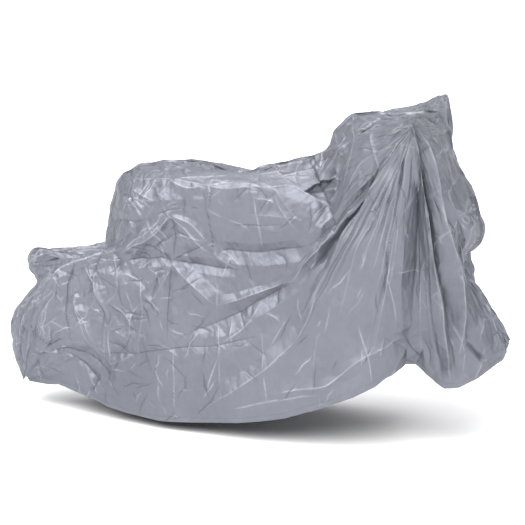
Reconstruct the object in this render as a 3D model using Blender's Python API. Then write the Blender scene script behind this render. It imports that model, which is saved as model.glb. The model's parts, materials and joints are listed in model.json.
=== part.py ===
"""A bicycle cover of thin silver-grey film, in the shape in which it hangs in use.

Two side panels meet along the middle in a welded seam, which stands up as a narrow flange from the rear hem,
over the top, to the front hem.  The cover is hollow and open below.  From rear to front its outline is a tail,
a rear lobe, a square hump, a dip, a tall peak, a front slope and a nose.

The tables give heights above the floor; the part's origin is the point under the cover's top that holds it up.
+X points to the cover's front, +Y to its left, +Z up.
"""
from collections import namedtuple

import bpy
import numpy as np

FILM = 0.002                 # thickness of a panel
SEAM_THICKNESS = 0.002       # two layers welded flat together
SEAM_HEIGHT = 0.011          # how far the flange stands above the panels
SEAM_DEPTH = 0.0015          # how far it reaches down between the panels' edges
CLEARANCE = 0.0003           # between the flange and either panel
HOLD_UP = np.array([0.0, 0.0, 1.01])      # the supported point under the top, in table coordinates

STEPS_BETWEEN_RIBS = 2       # sections worked out from one rib to the next
STEPS_TO_HEM = 24            # steps along a section, from the middle of the top down to the hem
SLACK = 0.9                  # 1 would follow the ribs' slopes fully, less pulls the film taut between them
SEAM_FADE = 0.06             # share of the way to the hem over which folds die out towards the seam

SIDE_RIGHT = -1.0            # the cover's right, towards -Y
SIDE_LEFT = 1.0

FILM_COLOUR = (0.50, 0.51, 0.54, 1.0)
SEAM_COLOUR = (0.44, 0.45, 0.48, 1.0)
FILM_ROUGHNESS = 0.38

# Share of the way from the crown to the hem at which each column of a rib lies.
RIB_KNOTS = (0.0, 0.22, 0.52, 0.76, 1.0)

# One rib per row, from the tail to the nose.
# crown = (along, height) of the flange's top edge on the middle line; the others are points of the film,
# (along, out from the middle, height):
# edge = where the top turns down, side = the lower edge of what bulges the cover out,
# skirt = halfway down the loose cloth, hem = the bottom edge.
# left_edge = the edge on the left side, where it lies elsewhere than on the right.
Rib = namedtuple("Rib", "crown edge side skirt hem left_edge", defaults=(None,))
RIBS = (
    # tail, with the rear hem
    Rib((-1.02, .085), (-1.005, .02, .1), (-.995, .035, .11), (-.985, .04, .11), (-.975, .045, .1)),
    Rib((-1.065, .225), (-.98, .06, .25), (-.935, .08, .225), (-.885, .085, .17), (-.855, .08, .1)),
    Rib((-1.055, .375), (-.935, .09, .425), (-.855, .12, .375), (-.785, .13, .255), (-.75, .12, .09)),
    Rib((-.945, .505), (-.84, .1, .56), (-.745, .15, .465), (-.665, .17, .305), (-.655, .15, .07)),
    # rear lobe
    Rib((-.98, .57), (-.79, .1, .6), (-.675, .16, .495), (-.585, .185, .315), (-.56, .17, .045)),
    Rib((-.94, .65), (-.725, .11, .64), (-.595, .17, .535), (-.49, .2, .325), (-.44, .2, .04)),
    Rib((-.77, .64), (-.65, .12, .655), (-.515, .18, .565), (-.39, .215, .335), (-.32, .23, .035)),
    Rib((-.65, .66), (-.56, .14, .69), (-.435, .185, .605), (-.305, .23, .355), (-.2, .25, .045)),
    # square hump
    Rib((-.63, .785), (-.505, .15, .75), (-.375, .19, .665), (-.23, .235, .365), (-.105, .265, .06)),
    Rib((-.585, .935), (-.46, .16, .895), (-.3, .19, .68), (-.15, .24, .38), (-.015, .275, .07)),
    Rib((-.505, 1.01), (-.365, .17, .96), (-.22, .2, .675), (-.06, .245, .395), (.075, .285, .085)),
    Rib((-.38, 1.035), (-.265, .18, .98), (-.14, .205, .67), (.025, .25, .415), (.155, .29, .1)),
    Rib((-.24, 1.04), (-.12, .185, .99), (-.025, .21, .69), (.11, .25, .435), (.225, .295, .125),
        left_edge=(-.12, .185, .975)),
    Rib((-.075, 1.0), (.025, .185, .995), (.08, .215, .705), (.19, .25, .455), (.285, .3, .15),
        left_edge=(.025, .185, .96)),
    # dip, where the top sags
    Rib((.05, 1.04), (.16, .18, .965), (.185, .22, .7), (.265, .25, .465), (.35, .3, .175)),
    Rib((.165, 1.065), (.265, .175, .92), (.29, .225, .7), (.34, .25, .475), (.41, .3, .2)),
    Rib((.25, 1.095), (.33, .175, .89), (.365, .23, .715), (.41, .25, .49), (.46, .295, .225)),
    # peak
    Rib((.31, 1.195), (.395, .18, 1.09), (.44, .235, .74), (.475, .245, .505), (.51, .285, .25)),
    Rib((.37, 1.24), (.45, .2, 1.175), (.5, .24, .77), (.53, .24, .52), (.55, .26, .28)),
    Rib((.44, 1.25), (.54, .245, 1.215), (.57, .245, .79), (.585, .23, .525), (.585, .225, .305)),
    Rib((.54, 1.24), (.61, .285, 1.24), (.63, .25, .8), (.625, .22, .525), (.61, .18, .32),
        left_edge=(.62, .285, 1.24)),
    Rib((.64, 1.262), (.65, .3, 1.255), (.68, .25, .805), (.67, .215, .525), (.64, .145, .32),
        left_edge=(.68, .3, 1.285)),
    Rib((.705, 1.25), (.68, .275, 1.225), (.725, .235, .795), (.715, .21, .51), (.685, .15, .295),
        left_edge=(.685, .285, 1.255)),
    # front slope
    Rib((.74, 1.175), (.715, .24, 1.145), (.76, .2, .77), (.76, .2, .49), (.73, .175, .255),
        left_edge=(.685, .265, 1.145)),
    Rib((.765, 1.08), (.75, .2, 1.035), (.78, .16, .74), (.795, .185, .48), (.78, .195, .245),
        left_edge=(.7, .225, 1.03)),
    Rib((.835, .96), (.795, .17, .94), (.795, .125, .715), (.835, .165, .47), (.825, .195, .255)),
    Rib((.88, .815), (.835, .13, .835), (.79, .08, .69), (.87, .14, .46), (.865, .18, .275)),
    Rib((.85, .745), (.82, .07, .745), (.805, .065, .655), (.9, .11, .445), (.9, .15, .295)),
    # nose, with the front hem
    Rib((.77, .69), (.785, .03, .69), (.84, .042, .59), (.92, .08, .43), (.93, .12, .315)),
    Rib((.84, .6), (.855, .03, .585), (.895, .035, .51), (.945, .055, .415), (.95, .08, .325)),
    Rib((.935, .49), (.94, .02, .48), (.955, .025, .435), (.97, .04, .385), (.965, .05, .33)),
    Rib((.985, .405), (.985, .015, .395), (.98, .02, .375), (.975, .025, .355), (.97, .03, .335)),
)

# The main folds, seen from the side.
# run = (along, height) points of the crest or valley, width = from the crest to where the fold ends, on each side,
# rise = height of the crest above the film (below it for a valley), start = share of the width at the first point.
Fold = namedtuple("Fold", "run width rise start")
RIGHT_FOLDS = (
    # fan from the right tip of the peak
    Fold(((.645, 1.235), (.535, 1.07), (.46, .9), (.36, .71), (.245, .46)), .045, .020, .3),
    Fold(((.335, .69), (.245, .46), (.09, .285), (-.175, .095)), .055, .012, .6),
    Fold(((.645, 1.23), (.5, 1.02), (.395, .855), (.305, .74), (.205, .62)), .035, -.020, .4),
    Fold(((.64, 1.21), (.575, 1.025), (.45, .79), (.365, .46)), .045, .010, .3),
    Fold(((.655, 1.22), (.63, 1.1), (.6, .955), (.565, .795), (.555, .675)), .045, -.016, .3),
    Fold(((.555, .675), (.58, .58), (.6, .475), (.62, .44)), .040, -.010, .6),
    Fold(((.65, 1.235), (.665, 1.05), (.7, .785), (.75, .5), (.79, .26)), .036, .022, .3),
    Fold(((.655, 1.225), (.71, .975), (.765, .665), (.8, .4)), .036, -.020, .3),
    Fold(((.655, 1.245), (.73, .97), (.79, .69), (.825, .475), (.815, .375)), .034, .018, .3),
    # swag below the hump
    Fold(((.21, .63), (.08, .545), (-.1, .44), (-.205, .4), (-.3, .345)), .050, -.020, .7),
    Fold(((.195, .63), (.03, .56), (-.11, .51)), .040, .012, .6),
    # hump: top edge and the hollow behind it, bottom tuck, rear corner
    Fold(((-.015, 1.015), (.11, .985), (.205, .945), (.28, .905), (.33, .88)), .050, .016, 1),
    Fold(((.2, .94), (.25, .965), (.3, 1.), (.36, 1.02)), .045, -.018, 1),
    Fold(((-.165, .975), (-.055, .99), (.025, .99), (.115, .96)), .055, .010, 1),
    Fold(((-.13, .715), (.075, .72), (.21, .745), (.255, .77)), .042, -.014, 1),
    Fold(((-.345, .955), (-.315, .875), (-.24, .795), (-.17, .725), (-.135, .705)), .055, .012, 1),
    Fold(((-.32, .865), (-.41, .775), (-.51, .685)), .045, .012, 1),
    # gathered point at the hump's lower corner
    Fold(((-.295, .68), (-.38, .685), (-.5, .655)), .040, -.014, .6),
    Fold(((-.295, .67), (-.205, .59), (-.11, .51)), .045, .014, .4),
    Fold(((-.295, .68), (-.195, .665), (-.11, .655), (-.01, .66)), .035, -.012, .6),
    # rear lobe and tail
    Fold(((-.905, .515), (-.805, .58), (-.735, .63), (-.655, .65), (-.55, .69)), .042, .014, 1),
    Fold(((-.675, .635), (-.61, .535), (-.56, .455)), .035, .011, 1),
    Fold(((-.74, .525), (-.665, .4), (-.605, .27)), .035, .010, .8),
    Fold(((-.845, .25), (-.785, .28), (-.7, .275), (-.62, .24), (-.58, .195), (-.61, .12)), .036, -.014, 1),
)
LEFT_FOLDS = (
    # fan from the left tip of the peak
    Fold(((.64, 1.235), (.56, 1.06), (.44, .8), (.28, .5), (.12, .27)), .050, .018, .3),
    Fold(((.635, 1.22), (.5, .99), (.34, .74), (.18, .6), (-.06, .5)), .042, -.018, .4),
    Fold(((.645, 1.2), (.61, .98), (.58, .7), (.53, .46)), .045, .013, .3),
    Fold(((.65, 1.235), (.66, 1.02), (.69, .74), (.73, .46), (.77, .29)), .038, .020, .3),
    Fold(((.655, 1.22), (.7, 1.), (.745, .76), (.79, .52)), .036, -.017, .3),
    Fold(((.66, 1.23), (.73, 1.), (.78, .74), (.82, .5), (.835, .4)), .034, .015, .3),
    # swags below the hump
    Fold(((.1, .62), (-.08, .55), (-.26, .53), (-.4, .56)), .045, .012, .7),
    Fold(((.08, .5), (-.1, .43), (-.28, .42), (-.44, .46)), .050, -.016, .7),
    # hump
    Fold(((-.42, .95), (-.26, .975), (-.08, .985), (.1, .96)), .055, .010, 1),
    Fold(((.0, 1.01), (.14, .975), (.27, .91)), .050, .014, 1),
    Fold(((-.5, .66), (-.34, .69), (-.12, .7), (.1, .71), (.24, .76)), .042, -.015, 1),
    Fold(((-.46, .9), (-.33, .79), (-.22, .7)), .050, .011, 1),
    # rear lobe and tail
    Fold(((-.9, .52), (-.8, .585), (-.7, .64), (-.56, .68)), .042, .013, 1),
    Fold(((-.68, .62), (-.62, .48), (-.56, .34)), .038, .012, 1),
    Fold(((-.79, .56), (-.81, .42), (-.74, .28)), .036, -.010, 1),
    Fold(((-.46, .6), (-.44, .42), (-.46, .24)), .036, .010, 1),
    # hem
    Fold(((.38, .34), (.12, .2), (-.14, .11)), .050, .010, 1),
)
FOLD_RISE = 0.12             # share of a fold's run over which it comes up
FOLD_FALL = 0.20             # and over which it dies out


def clear_scene():
    for item in list(bpy.data.objects):
        bpy.data.objects.remove(item, do_unlink=True)


def film_material(name, colour):
    """Satin plastic film."""
    material = bpy.data.materials.new(name)
    material.use_nodes = True
    shader = material.node_tree.nodes["Principled BSDF"]
    shader.inputs["Base Color"].default_value = colour
    shader.inputs["Roughness"].default_value = FILM_ROUGHNESS
    shader.inputs["Metallic"].default_value = 0.0
    material.diffuse_color = colour
    return material


def smooth_through(knots, values, at):
    """The curve that passes through values at the knots, read at the places in at."""
    knots = np.asarray(knots, dtype=float)
    slopes = np.gradient(values, knots, axis=0) * SLACK
    left = np.clip(np.searchsorted(knots, at, side="right") - 1, 0, len(knots) - 2)
    gap = knots[left + 1] - knots[left]
    share = (at - knots[left]) / gap
    column = (-1,) + (1,) * (values.ndim - 1)
    gap = gap.reshape(column)
    share = share.reshape(column)
    rest = 1.0 - share
    start = (1.0 + 2.0 * share) * rest ** 2 * values[left] + share * rest ** 2 * gap * slopes[left]
    end = share ** 2 * (3.0 - 2.0 * share) * values[left + 1] - share ** 2 * rest * gap * slopes[left + 1]
    return start + end


def unit(vectors):
    return vectors / np.linalg.norm(vectors, axis=-1, keepdims=True)


def film_crowns():
    """The ribs' crowns brought in from the flange's top edge to the film below it."""
    edge = np.array([rib.crown for rib in RIBS])
    slopes = np.gradient(edge, axis=0)
    outwards = unit(np.stack([-slopes[:, 1], slopes[:, 0]], axis=1))
    return edge - outwards * SEAM_HEIGHT


def rib_points(rib, crown, side):
    """A rib's five points from the crown down to the hem, on one side."""
    edge = rib.left_edge if side == SIDE_LEFT and rib.left_edge else rib.edge
    points = [(crown[0], 0.0, crown[1])]
    points += [(along, side * out, height) for along, out, height in (edge, rib.side, rib.skirt, rib.hem)]
    return points


def draped_surface():
    """The smooth film without its folds: grid[section, step] from the right hem over the top to the left hem."""
    crowns = film_crowns()
    right = np.array([rib_points(rib, crown, SIDE_RIGHT) for rib, crown in zip(RIBS, crowns)])
    left = np.array([rib_points(rib, crown, SIDE_LEFT) for rib, crown in zip(RIBS, crowns)])
    net = np.concatenate([right[:, ::-1], left[:, 1:]], axis=1)
    knots = np.array(RIB_KNOTS)
    across_knots = np.concatenate([-knots[::-1], knots[1:]])
    across = np.linspace(-1.0, 1.0, 2 * STEPS_TO_HEM + 1)
    sections = smooth_through(across_knots, np.moveaxis(net, 1, 0), across)
    along = np.linspace(0.0, len(RIBS) - 1.0, (len(RIBS) - 1) * STEPS_BETWEEN_RIBS + 1)
    return smooth_through(np.arange(len(RIBS)), np.moveaxis(sections, 1, 0), along)


def outward(grid):
    """Unit normals that point out of the cover; along the crown they lie in the middle plane."""
    normals = np.cross(np.gradient(grid, axis=0), np.gradient(grid, axis=1))
    normals[:, STEPS_TO_HEM, 1] = 0.0
    return unit(normals)


def fold_relief(along, height, fold):
    """How far one fold lifts the film at each place: a ridge or valley with straight flanks."""
    points = np.array(fold.run)
    spans = np.diff(points, axis=0)
    lengths = np.hypot(spans[:, 0], spans[:, 1])
    starts = np.concatenate([[0.0], np.cumsum(lengths)])
    distance = np.full(along.shape, np.inf)
    share = np.zeros(along.shape)
    for point, span, length, start in zip(points, spans, lengths, starts):
        direction = span / length
        offset_x = along - point[0]
        offset_z = height - point[1]
        reach = np.clip(offset_x * direction[0] + offset_z * direction[1], 0.0, length)
        away = np.hypot(offset_x - reach * direction[0], offset_z - reach * direction[1])
        nearer = away < distance
        distance = np.where(nearer, away, distance)
        share = np.where(nearer, (start + reach) / starts[-1], share)
    width = fold.width * (fold.start + (1.0 - fold.start) * np.clip(2.0 * share, 0.0, 1.0))
    ends = np.clip(np.minimum(share / FOLD_RISE, (1.0 - share) / FOLD_FALL), 0.0, 1.0)
    return fold.rise * ends * np.clip(1.0 - distance / width, 0.0, 1.0)


def panel_surfaces(grid, normals, side, folds):
    """The outer and inner grids of one panel, from the crown down to the hem."""
    if side == SIDE_RIGHT:
        half = slice(STEPS_TO_HEM, None, -1)
    else:
        half = slice(STEPS_TO_HEM, None)
    smooth = grid[:, half]
    normals = normals[:, half]
    relief = sum(fold_relief(smooth[..., 0], smooth[..., 2], fold) for fold in folds)
    from_crown = np.linspace(0.0, 1.0, STEPS_TO_HEM + 1)
    relief = relief * np.clip(from_crown / SEAM_FADE, 0.0, 1.0)
    outer = smooth + normals * relief[..., None]
    outer[..., 1] += side * (SEAM_THICKNESS / 2.0 + CLEARANCE)
    return outer - HOLD_UP, outer - normals * FILM - HOLD_UP


def closed_sheet(name, outer, inner, material):
    """A thin closed body between two grids of the same size, both split along the same diagonals."""
    sections, steps = outer.shape[:2]
    vertices = np.concatenate([outer.reshape(-1, 3), inner.reshape(-1, 3)])
    below = sections * steps
    rising = np.linalg.norm(outer[1:, 1:] - outer[:-1, :-1], axis=-1)
    falling = np.linalg.norm(outer[1:, :-1] - outer[:-1, 1:], axis=-1)
    faces = []
    for i in range(sections - 1):
        for j in range(steps - 1):
            a, b, c, d = (i * steps + j, (i + 1) * steps + j, (i + 1) * steps + j + 1, i * steps + j + 1)
            halves = ((a, b, c), (a, c, d)) if rising[i, j] < falling[i, j] else ((a, b, d), (b, c, d))
            for half in halves:
                faces.append(half)
                faces.append(tuple(below + corner for corner in reversed(half)))
    rim = [i * steps for i in range(sections)]
    rim += [(sections - 1) * steps + j for j in range(1, steps)]
    rim += [i * steps + steps - 1 for i in range(sections - 2, -1, -1)]
    rim += list(range(steps - 2, 0, -1))
    for here, after in zip(rim, rim[1:] + rim[:1]):
        faces.append((after, here, below + here, below + after))
    mesh = bpy.data.meshes.new(name)
    mesh.from_pydata(vertices.tolist(), [], faces)
    mesh.materials.append(material)
    mesh.validate()
    mesh.update()
    sheet = bpy.data.objects.new(name, mesh)
    bpy.context.collection.objects.link(sheet)
    return sheet


def add_panel(name, grid, normals, side, folds, material):
    outer, inner = panel_surfaces(grid, normals, side, folds)
    if side == SIDE_RIGHT:
        outer = outer[::-1]
        inner = inner[::-1]
    closed_sheet(name, outer, inner, material)


def add_seam(name, grid, normals, material):
    """The welded flange: a thin strip on edge, its foot between the panels' top edges."""
    crown = grid[:, STEPS_TO_HEM]
    upwards = normals[:, STEPS_TO_HEM]
    foot = crown - upwards * SEAM_DEPTH - HOLD_UP
    top = crown + upwards * SEAM_HEIGHT - HOLD_UP
    profile = np.stack([foot, top], axis=1)
    half_thickness = np.array([0.0, SEAM_THICKNESS / 2.0, 0.0])
    closed_sheet(name, profile - half_thickness, profile + half_thickness, material)


def main():
    clear_scene()
    grid = draped_surface()
    normals = outward(grid)
    film = film_material("film", FILM_COLOUR)
    weld = film_material("weld", SEAM_COLOUR)
    add_panel("right_panel", grid, normals, SIDE_RIGHT, RIGHT_FOLDS, film)
    add_panel("left_panel", grid, normals, SIDE_LEFT, LEFT_FOLDS, film)
    add_seam("ridge_seam", grid, normals, weld)


main()
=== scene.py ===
"""Looks of the draped bicycle cover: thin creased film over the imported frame, soft light and camera."""
import json
import math
from collections import namedtuple

import bpy
import numpy as np
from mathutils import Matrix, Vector
from mathutils.geometry import delaunay_2d_cdt

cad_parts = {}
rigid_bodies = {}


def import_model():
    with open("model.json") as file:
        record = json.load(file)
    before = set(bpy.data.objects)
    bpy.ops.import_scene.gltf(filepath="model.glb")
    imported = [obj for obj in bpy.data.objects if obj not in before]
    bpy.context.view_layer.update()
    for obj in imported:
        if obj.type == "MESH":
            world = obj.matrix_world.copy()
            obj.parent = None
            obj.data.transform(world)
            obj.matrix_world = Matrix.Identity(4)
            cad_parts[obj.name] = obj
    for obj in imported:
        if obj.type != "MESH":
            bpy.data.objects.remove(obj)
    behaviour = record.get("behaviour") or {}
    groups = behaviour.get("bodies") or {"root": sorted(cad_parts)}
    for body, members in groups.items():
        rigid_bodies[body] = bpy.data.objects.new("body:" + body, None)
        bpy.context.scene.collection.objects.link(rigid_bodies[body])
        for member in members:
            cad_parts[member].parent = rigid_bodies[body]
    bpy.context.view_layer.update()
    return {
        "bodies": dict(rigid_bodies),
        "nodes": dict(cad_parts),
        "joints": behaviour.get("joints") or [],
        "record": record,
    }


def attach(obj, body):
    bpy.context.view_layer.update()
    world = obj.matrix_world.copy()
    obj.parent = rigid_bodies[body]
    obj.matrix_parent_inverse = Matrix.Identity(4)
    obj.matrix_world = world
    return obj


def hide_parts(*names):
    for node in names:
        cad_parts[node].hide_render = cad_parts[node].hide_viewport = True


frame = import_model()
bpy.ops.object.select_all(action="DESELECT")

# ---------------------------------------------------------------- sizes, in metres
HOLD_UP = np.array([0.0, 0.0, 1.01])      # the held point under the top, above the floor
STEPS_BETWEEN_RIBS = 24
STEPS_TO_HEM = 400
SLACK = 0.9                               # how far the film follows the ribs' slopes
TRIANGLES = 196000                        # of each panel once its flat places are thinned out
SIDE_RIGHT = -1.0                         # towards -Y, and towards the camera
SIDE_LEFT = 1.0
TIP = (0.65, 1.235)                       # where the fan of folds gathers, seen from the side
SEEDS = {"right_panel": 11, "left_panel": 12, "crown": 5}

# The flange along the middle
SEAM_GAP = 0.0013                         # from the middle plane to a panel's top edge
SEAM_HEIGHT = 0.011
SEAM_DEPTH = 0.0015
SEAM_THICKNESS = 0.0012
SEAM_PROFILE = (                          # height and thickness at steps up a face, as shares
    (0.0, 1.0), (0.3, 1.0), (0.36, 0.5), (0.5, 0.5), (0.56, 1.0), (1.0, 0.8))
SEAM_WAVE = 0.0028                        # how far the flange leans from side to side
SEAM_LEANS = ((0.021, 0.0, 1.0), (0.0087, 1.0, 0.6), (0.055, 0.0, 0.8))    # length, start, share of a wave
SEAM_DROPS = ((0.034, 0.5, 0.12), (0.013, 0.0, 0.07))                      # the same for its top edge
SEAM_CURL = 1.5                           # 1 for a straight lean, more for one that bends near the edge
SEAM_FADE = 0.02                          # share of the way to the hem over which folds die out at it
SAME_POINT = 1e-5

# Laying a fold on the film
FROM_THE_SIDE = (0, 2, 1)                 # axes to the right, up, and towards the eye
FROM_ABOVE = (0, 1, 2)
MAP_STRIDE = 4       # every so many grid points are searched first
MAP_ROUNDS = 3
SAME_SPOT = 0.01
TINY_AREA = 1e-8
CHORD = 0.02                              # length of the straight pieces in which a fold is followed
FEWEST_POINTS = 3
CELL = 8             # grid points to a side of the cells a fold is looked for in
CELL_REACH = 0.06

# Form of a fold
CREST_RADIUS = 0.0012                     # of a fold's crest
CREST_SHARE = 0.02                        # and what is added to it for each metre of width
PINCH_HEIGHT = 0.0012                     # the sharp line along the crest
PINCH_WIDTH = 0.0045
WIDENS_OVER = 0.5                         # share of the run over which a fold comes to its full width
LOW_RISE = 0.012                          # lower folds than this are lowered further
LOW_SHARE = 0.7                           # to this share of their height
# the marks are pale along crests and painted shade along valleys
MARK_WIDTH = 0.0020                       # of the line where the film was bent sharply
CREASE_ANGLE = math.radians(9)            # edges bent by more look sharp

# Short creases
SMALL_CREASES = 340
SMALL_LENGTH = (0.03, 0.15)
SMALL_WIDTH = (0.005, 0.014)
SMALL_RISE = (0.0012, 0.0036)
SMALL_ENDS = (0.35, 0.35)                 # shares of the run over which it comes up and dies out
SMALL_BEND = 0.03
SMALL_POINTS = 5
HALF_BACK = -0.5                          # share of the length by which a run begins before its place
SHORTEST_SPAN = 0.001
FAN_FROM = 0.15                           # in front of this they fan from the tip
FAN_SPREAD = 0.25
LOOSE_SPREAD = 1.6
CALM_FLANK = (-0.24, 1.0)                 # in front of this and below this the film is calmer
CALM_DIP = ((0.24, 1.0), 0.20)            # and so it is around this place, as far as this
CALM_BLEND = 0.08                         # over which it becomes so
CALM_SHARE = 0.3

# Rays from the tip
RAYS = 60
RAY_ANGLES = (-0.68, 0.24)                # from straight down, towards the front
RAY_START = (0.02, 0.4)
RAY_LENGTH = (0.15, 0.6)
RAY_WIDTH = (0.006, 0.014)
RAY_RISE = (0.0012, 0.003)
RAY_ENDS = (0.2, 0.5, 0.5)                # where it comes up and dies out, and its width at the tip
RAY_POINTS = 3

# Wrinkles along the seam
PUCKERS = 110
PUCKER_LENGTH = (0.025, 0.10)
PUCKER_WIDTH = (0.006, 0.014)
PUCKER_RISE = (0.001, 0.0035)
PUCKER_ENDS = (0.05, 0.6)
PUCKER_TURN = 0.35

# The hem
HEM_WIDTH = 0.018
HEM_DEPTH = 0.0004
# how dark the painted shade is along the groove above the hem
HEM_PAINTED_SHADE = 0.35

# Flat facets between scattered sites: spacing of the sites and height of the facets
FILM_LENGTH = 2.2
FILM_DEPTH = 1.1
COARSE_NET = (0.10, 0.011)
FINE_NETS = ((0.042, 0.0040), (0.02, 0.0012))
FURTHEST = 0.009                          # of the large facets from the smooth film
TIP_REACH = 0.16                          # nearer to the tip than this they are smaller
CROWN_STEP = 0.045                        # the crown is bent every so far, by as much as CROWN_BEND
CROWN_BEND = 0.005
CROWN_REACH = 0.12                        # share of the way to the hem over which that dies out
FLATNESS = 0.85                           # 1 for wholly flat large facets, 0 for the smooth film
SCATTER = 0.42
ROOM = 1.6                                # facets are lower where the film is drawn together
NET_BEND = 0.010                          # only edges bent by more are creases
NET_SHARP = 0.03                          # and edges bent by this are the sharpest
NET_RISE = 0.0006
NET_ENDS = (0.15, 0.15)
NET_POINTS = 6

# The finest crumpling, in the finish
CRUMPLE_NETS = ((0.09, 0.13), (0.03, 0.12))     # spacing of the net and slope of its facets
HANG_SLANT = 0.25
HANG_STRETCH = 0.5
FAN_REACH = 0.45
FAN_STRETCH = 0.3
FAN_BEGINS = 0.02
FAN_BLEND = 0.25

# The film's finish: scale and detail of its patterns, and how far each one shows
CLOUDS = (2.6, 3.0)
CLOUD_SHARE = 1.1
MOTTLING = (34.0, 4.0)
MOTTLING_SHARE = 0.5
WEAR = (11.0, 1.0)
WEAR_CONTRAST = 2.4
WEAR_FROM = 0.6                           # subtracted, so that some crests stay unworn
CREST_SHOWS = 0.45
# how far the painted shade shows along the valleys of sharp creases
VALLEY_SHADE_SHOWS = 0.8
FILM_DEEP = (0.116, 0.125, 0.149, 1.0)
FILM_PALE = (0.200, 0.208, 0.236, 1.0)
CREASE_PALE = (0.55, 0.56, 0.60, 1.0)
# painted shade along valleys and along the groove above the hem
PAINTED_VALLEY_SHADE = (0.08, 0.085, 0.10, 1.0)
FILM_METALLIC = 0.55
FILM_ROUGHNESS = 0.50
ROUGHNESS_SPREAD = 0.2
CREASE_ROUGHNESS = 0.1
CRUMPLE_DISTANCE = 1.0

# The weld's finish
WELD_MOTTLING = (60.0, 3.0)
WELD_DEEP = (0.12, 0.125, 0.15, 1.0)
WELD_PALE = (0.27, 0.28, 0.31, 1.0)
WELD_METALLIC = 0.3
WELD_ROUGHNESS = 0.34
WELD_SPREAD = 0.12
WELD_GRAIN = 0.0006

# Floor, light and camera
FLOOR_SIZE = 400.0
FLOOR_COLOUR = (0.85, 0.85, 0.85, 1.0)
FLOOR_ROUGHNESS = 0.9
WORLD_LOW = (0.07, 0.07, 0.08, 1.0)
WORLD_HIGH = (1.0, 1.0, 1.02, 1.0)
WORLD_TOWARDS = (-0.15, 0.3, 0.94)        # the side on which the room is bright
BACKDROP = (1.0, 1.0, 1.0, 1.0)
LIGHTS = (                                # name, towards the light, spread in degrees, strength
    ("key", (-0.28, -0.66, 0.90), 58.0, 4.6),
    ("front", (0.75, -0.35, 0.65), 60.0, 1.35),
    ("top", (0.1, 0.2, 1.0), 70.0, 1.1))
CAMERA_AZIMUTH = 15.0
CAMERA_ELEVATION = 12.5
CAMERA_DISTANCE = 6.0
CAMERA_TARGET = (0.014, 0.0, -0.367)
CAMERA_LENS = 105.05
CAMERA_SENSOR = 36.0

# Share of the way from the crown to the hem at which each column of a rib lies.
RIB_KNOTS = (0.0, 0.22, 0.52, 0.76, 1.0)

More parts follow.
